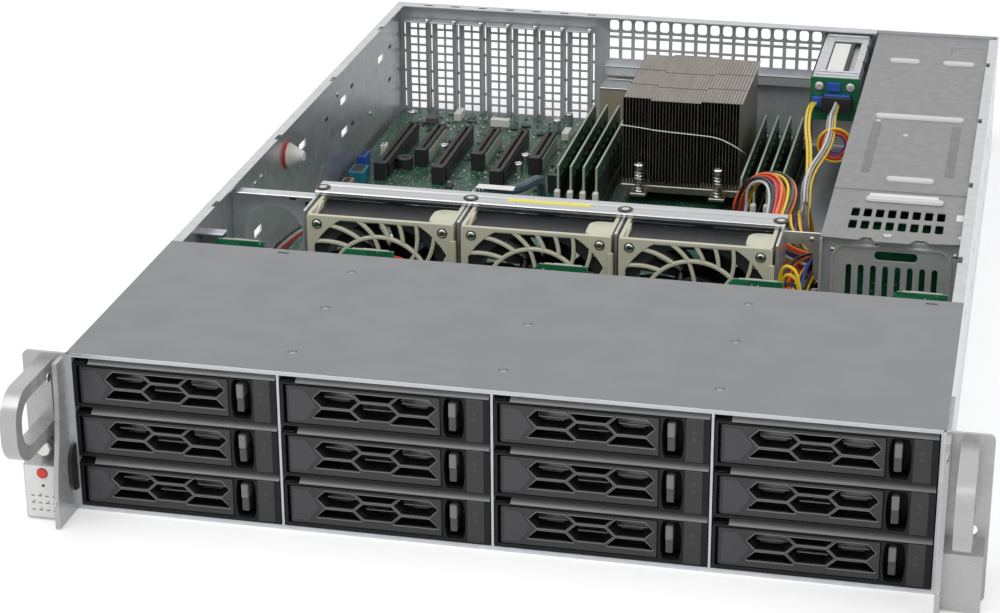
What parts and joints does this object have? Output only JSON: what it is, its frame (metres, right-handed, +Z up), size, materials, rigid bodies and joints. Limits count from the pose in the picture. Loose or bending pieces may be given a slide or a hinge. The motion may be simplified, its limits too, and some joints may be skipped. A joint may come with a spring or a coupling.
{
  "type": "2u rack server",
  "caption": "Open rack server chassis with pull-out drive carriers, fan wall, main board, heatsink and two slide-in power supplies.",
  "frame": {"origin": "centre of the chassis floor's underside", "axes": "+X to the right seen from the front, +Y from front to rear, +Z up"},
  "size_m": [0.4826, 0.718, 0.088],
  "materials": {
    "zinc_steel": "plated sheet steel, satin",
    "cover_grey": "grey painted sheet steel, satin",
    "ear_silver": "silver, satin",
    "carrier_black": "black moulded plastic, gloss",
    "lever_black": "black moulded plastic, gloss",
    "button_black": "black moulded plastic, gloss",
    "board_green": "green solder mask, satin",
    "socket_black": "black moulded plastic",
    "fan_cream": "cream moulded plastic",
    "rotor_dark": "dark moulded plastic",
    "fin_metal": "bare fins, slightly warm grey",
    "cage_steel": "plated sheet steel, satin",
    "supply_steel": "plated case, satin",
    "button_red": "red, gloss",
    "cable_mixed": "coloured insulation, satin"
  },
  "bodies": {
    "chassis": {"chassis_tray": "zinc_steel", "rear_panel": "zinc_steel", "slot_covers": "zinc_steel", "drive_bay_cover": "cover_grey", "drive_cage": "zinc_steel", "backplane": "board_green", "fan_wall": "zinc_steel", "fan_housings": "fan_cream", "ear_left": "ear_silver", "ear_right": "ear_silver", "motherboard": "board_green", "board_sockets": "socket_black", "memory_modules": "board_green", "heatsink": "fin_metal", "psu_cage": "cage_steel", "power_board": "board_green", "rear_drive_bay": "zinc_steel", "cable_harness": "cable_mixed"},
    "carrier_11": {"carrier_11": "carrier_black"},
    "lever_11": {"lever_11": "lever_black"},
    "button_11": {"button_11": "button_black"},
    "carrier_12": {"carrier_12": "carrier_black"},
    "lever_12": {"lever_12": "lever_black"},
    "button_12": {"button_12": "button_black"},
    "carrier_13": {"carrier_13": "carrier_black"},
    "lever_13": {"lever_13": "lever_black"},
    "button_13": {"button_13": "button_black"},
    "carrier_14": {"carrier_14": "carrier_black"},
    "lever_14": {"lever_14": "lever_black"},
    "button_14": {"button_14": "button_black"},
    "carrier_21": {"carrier_21": "carrier_black"},
    "lever_21": {"lever_21": "lever_black"},
    "button_21": {"button_21": "button_black"},
    "carrier_22": {"carrier_22": "carrier_black"},
    "lever_22": {"lever_22": "lever_black"},
    "button_22": {"button_22": "button_black"},
    "carrier_23": {"carrier_23": "carrier_black"},
    "lever_23": {"lever_23": "lever_black"},
    "button_23": {"button_23": "button_black"},
    "carrier_24": {"carrier_24": "carrier_black"},
    "lever_24": {"lever_24": "lever_black"},
    "button_24": {"button_24": "button_black"},
    "carrier_31": {"carrier_31": "carrier_black"},
    "lever_31": {"lever_31": "lever_black"},
    "button_31": {"button_31": "button_black"},
    "carrier_32": {"carrier_32": "carrier_black"},
    "lever_32": {"lever_32": "lever_black"},
    "button_32": {"button_32": "button_black"},
    "carrier_33": {"carrier_33": "carrier_black"},
    "lever_33": {"lever_33": "lever_black"},
    "button_33": {"button_33": "button_black"},
    "carrier_34": {"carrier_34": "carrier_black"},
    "lever_34": {"lever_34": "lever_black"},
    "button_34": {"button_34": "button_black"},
    "fan_rotor_1": {"fan_rotor_1": "rotor_dark"},
    "fan_rotor_2": {"fan_rotor_2": "rotor_dark"},
    "fan_rotor_3": {"fan_rotor_3": "rotor_dark"},
    "psu_upper": {"psu_upper": "supply_steel"},
    "psu_lower": {"psu_lower": "supply_steel"},
    "power_button": {"power_button": "button_red"}
  },
  "joints": [
    {"name": "carrier_11_slide", "type": "slide", "parent": "chassis", "child": "carrier_11", "axis": [0, -1, 0], "range_m": [0, 0.155]},
    {"name": "lever_11_swing", "type": "hinge", "parent": "carrier_11", "child": "lever_11", "pos_m": [-0.2106, -0.321, 0.07069], "axis": [0, 0, -1], "range_deg": [0, 50]},
    {"name": "button_11_press", "type": "slide", "parent": "carrier_11", "child": "button_11", "axis": [1, 0, 0], "range_m": [0, 0.002], "stiffness_N_per_m": 400},
    {"name": "carrier_12_slide", "type": "slide", "parent": "chassis", "child": "carrier_12", "axis": [0, -1, 0], "range_m": [0, 0.155]},
    {"name": "lever_12_swing", "type": "hinge", "parent": "carrier_12", "child": "lever_12", "pos_m": [-0.10225, -0.321, 0.07069], "axis": [0, 0, -1], "range_deg": [0, 50]},
    {"name": "button_12_press", "type": "slide", "parent": "carrier_12", "child": "button_12", "axis": [1, 0, 0], "range_m": [0, 0.002], "stiffness_N_per_m": 400},
    {"name": "carrier_13_slide", "type": "slide", "parent": "chassis", "child": "carrier_13", "axis": [0, -1, 0], "range_m": [0, 0.155]},
    {"name": "lever_13_swing", "type": "hinge", "parent": "carrier_13", "child": "lever_13", "pos_m": [0.0061, -0.321, 0.07069], "axis": [0, 0, -1], "range_deg": [0, 50]},
    {"name": "button_13_press", "type": "slide", "parent": "carrier_13", "child": "button_13", "axis": [1, 0, 0], "range_m": [0, 0.002], "stiffness_N_per_m": 400},
    {"name": "carrier_14_slide", "type": "slide", "parent": "chassis", "child": "carrier_14", "axis": [0, -1, 0], "range_m": [0, 0.155]},
    {"name": "lever_14_swing", "type": "hinge", "parent": "carrier_14", "child": "lever_14", "pos_m": [0.11445, -0.321, 0.07069], "axis": [0, 0, -1], "range_deg": [0, 50]},
    {"name": "button_14_press", "type": "slide", "parent": "carrier_14", "child": "button_14", "axis": [1, 0, 0], "range_m": [0, 0.002], "stiffness_N_per_m": 400},
    {"name": "carrier_21_slide", "type": "slide", "parent": "chassis", "child": "carrier_21", "axis": [0, -1, 0], "range_m": [0, 0.155]},
    {"name": "lever_21_swing", "type": "hinge", "parent": "carrier_21", "child": "lever_21", "pos_m": [-0.2106, -0.321, 0.04295], "axis": [0, 0, -1], "range_deg": [0, 50]},
    {"name": "button_21_press", "type": "slide", "parent": "carrier_21", "child": "button_21", "axis": [1, 0, 0], "range_m": [0, 0.002], "stiffness_N_per_m": 400},
    {"name": "carrier_22_slide", "type": "slide", "parent": "chassis", "child": "carrier_22", "axis": [0, -1, 0], "range_m": [0, 0.155]},
    {"name": "lever_22_swing", "type": "hinge", "parent": "carrier_22", "child": "lever_22", "pos_m": [-0.10225, -0.321, 0.04295], "axis": [0, 0, -1], "range_deg": [0, 50]},
    {"name": "button_22_press", "type": "slide", "parent": "carrier_22", "child": "button_22", "axis": [1, 0, 0], "range_m": [0, 0.002], "stiffness_N_per_m": 400},
    {"name": "carrier_23_slide", "type": "slide", "parent": "chassis", "child": "carrier_23", "axis": [0, -1, 0], "range_m": [0, 0.155]},
    {"name": "lever_23_swing", "type": "hinge", "parent": "carrier_23", "child": "lever_23", "pos_m": [0.0061, -0.321, 0.04295], "axis": [0, 0, -1], "range_deg": [0, 50]},
    {"name": "button_23_press", "type": "slide", "parent": "carrier_23", "child": "button_23", "axis": [1, 0, 0], "range_m": [0, 0.002], "stiffness_N_per_m": 400},
    {"name": "carrier_24_slide", "type": "slide", "parent": "chassis", "child": "carrier_24", "axis": [0, -1, 0], "range_m": [0, 0.155]},
    {"name": "lever_24_swing", "type": "hinge", "parent": "carrier_24", "child": "lever_24", "pos_m": [0.11445, -0.321, 0.04295], "axis": [0, 0, -1], "range_deg": [0, 50]},
    {"name": "button_24_press", "type": "slide", "parent": "carrier_24", "child": "button_24", "axis": [1, 0, 0], "range_m": [0, 0.002], "stiffness_N_per_m": 400},
    {"name": "carrier_31_slide", "type": "slide", "parent": "chassis", "child": "carrier_31", "axis": [0, -1, 0], "range_m": [0, 0.155]},
    {"name": "lever_31_swing", "type": "hinge", "parent": "carrier_31", "child": "lever_31", "pos_m": [-0.2106, -0.321, 0.01522], "axis": [0, 0, -1], "range_deg": [0, 50]},
    {"name": "button_31_press", "type": "slide", "parent": "carrier_31", "child": "button_31", "axis": [1, 0, 0], "range_m": [0, 0.002], "stiffness_N_per_m": 400},
    {"name": "carrier_32_slide", "type": "slide", "parent": "chassis", "child": "carrier_32", "axis": [0, -1, 0], "range_m": [0, 0.155]},
    {"name": "lever_32_swing", "type": "hinge", "parent": "carrier_32", "child": "lever_32", "pos_m": [-0.10225, -0.321, 0.01522], "axis": [0, 0, -1], "range_deg": [0, 50]},
    {"name": "button_32_press", "type": "slide", "parent": "carrier_32", "child": "button_32", "axis": [1, 0, 0], "range_m": [0, 0.002], "stiffness_N_per_m": 400},
    {"name": "carrier_33_slide", "type": "slide", "parent": "chassis", "child": "carrier_33", "axis": [0, -1, 0], "range_m": [0, 0.155]},
    {"name": "lever_33_swing", "type": "hinge", "parent": "carrier_33", "child": "lever_33", "pos_m": [0.0061, -0.321, 0.01522], "axis": [0, 0, -1], "range_deg": [0, 50]},
    {"name": "button_33_press", "type": "slide", "parent": "carrier_33", "child": "button_33", "axis": [1, 0, 0], "range_m": [0, 0.002], "stiffness_N_per_m": 400},
    {"name": "carrier_34_slide", "type": "slide", "parent": "chassis", "child": "carrier_34", "axis": [0, -1, 0], "range_m": [0, 0.155]},
    {"name": "lever_34_swing", "type": "hinge", "parent": "carrier_34", "child": "lever_34", "pos_m": [0.11445, -0.321, 0.01522], "axis": [0, 0, -1], "range_deg": [0, 50]},
    {"name": "button_34_press", "type": "slide", "parent": "carrier_34", "child": "button_34", "axis": [1, 0, 0], "range_m": [0, 0.002], "stiffness_N_per_m": 400},
    {"name": "fan_1_spin", "type": "hinge", "parent": "chassis", "child": "fan_rotor_1", "pos_m": [-0.11717, -0.0834, 0.0427], "axis": [0, 1, 0], "continuous": true},
    {"name": "fan_2_spin", "type": "hinge", "parent": "chassis", "child": "fan_rotor_2", "pos_m": [-0.0255, -0.0834, 0.0427], "axis": [0, 1, 0], "continuous": true},
    {"name": "fan_3_spin", "type": "hinge", "parent": "chassis", "child": "fan_rotor_3", "pos_m": [0.06617, -0.0834, 0.0427], "axis": [0, 1, 0], "continuous": true},
    {"name": "psu_upper_slide", "type": "slide", "parent": "chassis", "child": "psu_upper", "axis": [0, 1, 0], "range_m": [0, 0.24]},
    {"name": "psu_lower_slide", "type": "slide", "parent": "chassis", "child": "psu_lower", "axis": [0, 1, 0], "range_m": [0, 0.24]},
    {"name": "power_button_press", "type": "slide", "parent": "chassis", "child": "power_button", "axis": [0, 1, 0], "range_m": [0, 0.001], "stiffness_N_per_m": 600}
  ]
}
